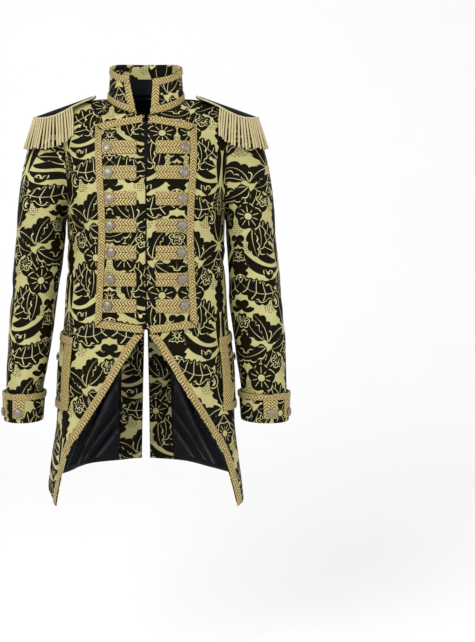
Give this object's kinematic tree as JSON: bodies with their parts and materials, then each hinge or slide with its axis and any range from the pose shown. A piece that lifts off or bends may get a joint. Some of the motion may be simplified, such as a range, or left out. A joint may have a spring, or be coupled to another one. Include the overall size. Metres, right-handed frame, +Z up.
{
  "type": "ringmaster jacket",
  "caption": "Long cutaway tailcoat in black and gold brocade, worn hollow, with stand collar, braid frogs, fringed epaulettes, turned-back cuffs and open back vent.",
  "frame": {"origin": "centre of the neck opening at the base of the collar, where the wearer's neck and shoulders hold the jacket", "axes": "+Z up along the jacket's length, the front faces -Y, and the wearer's left side is +X"},
  "size_m": [0.6419, 0.3047, 0.9812],
  "materials": {
    "brocade": "woven damask, black leaves on a chartreuse-gold ground",
    "braid": "flat plaited gold braid with a dull metallic lustre",
    "cord": "cream-gold twisted cord",
    "velvet": "black short-pile velvet",
    "satin": "black lining satin",
    "pewter": "domed antiqued pewter-grey button"
  },
  "bodies": {
    "root": {"back_left": "brocade", "back_lining_left": "satin", "back_lining_right": "satin", "back_right": "brocade", "collar": "brocade", "collar_braid": "braid", "cuff_braid_left": "braid", "cuff_braid_right": "braid", "cuff_button_left_1": "pewter", "cuff_button_left_2": "pewter", "cuff_button_right_1": "pewter", "cuff_button_right_2": "pewter", "cuff_left": "brocade", "cuff_right": "brocade", "edge_braid_left": "braid", "edge_braid_right": "braid", "epaulette_board_left": "velvet", "epaulette_board_right": "velvet", "epaulette_fringe_left": "cord", "epaulette_fringe_right": "cord", "front_braid_left": "braid", "front_braid_right": "braid", "front_button_left_1": "pewter", "front_button_left_2": "pewter", "front_button_left_3": "pewter", "front_button_left_4": "pewter", "front_button_left_5": "pewter", "front_button_left_6": "pewter", "front_button_left_7": "pewter", "front_button_right_1": "pewter", "front_button_right_2": "pewter", "front_button_right_3": "pewter", "front_button_right_4": "pewter", "front_button_right_5": "pewter", "front_button_right_6": "pewter", "front_button_right_7": "pewter", "front_left": "brocade", "front_right": "brocade", "pocket_braid_left": "braid", "pocket_braid_right": "braid", "pocket_button_left": "pewter", "pocket_button_right": "pewter", "pocket_flap_left": "brocade", "pocket_flap_right": "brocade", "sleeve_left": "brocade", "sleeve_right": "brocade", "underlap": "satin", "vent_braid_left": "braid", "vent_braid_right": "braid", "vent_button_left": "pewter", "vent_button_right": "pewter", "vent_facing_left": "brocade", "vent_facing_right": "brocade"}
  },
  "joints": []
}
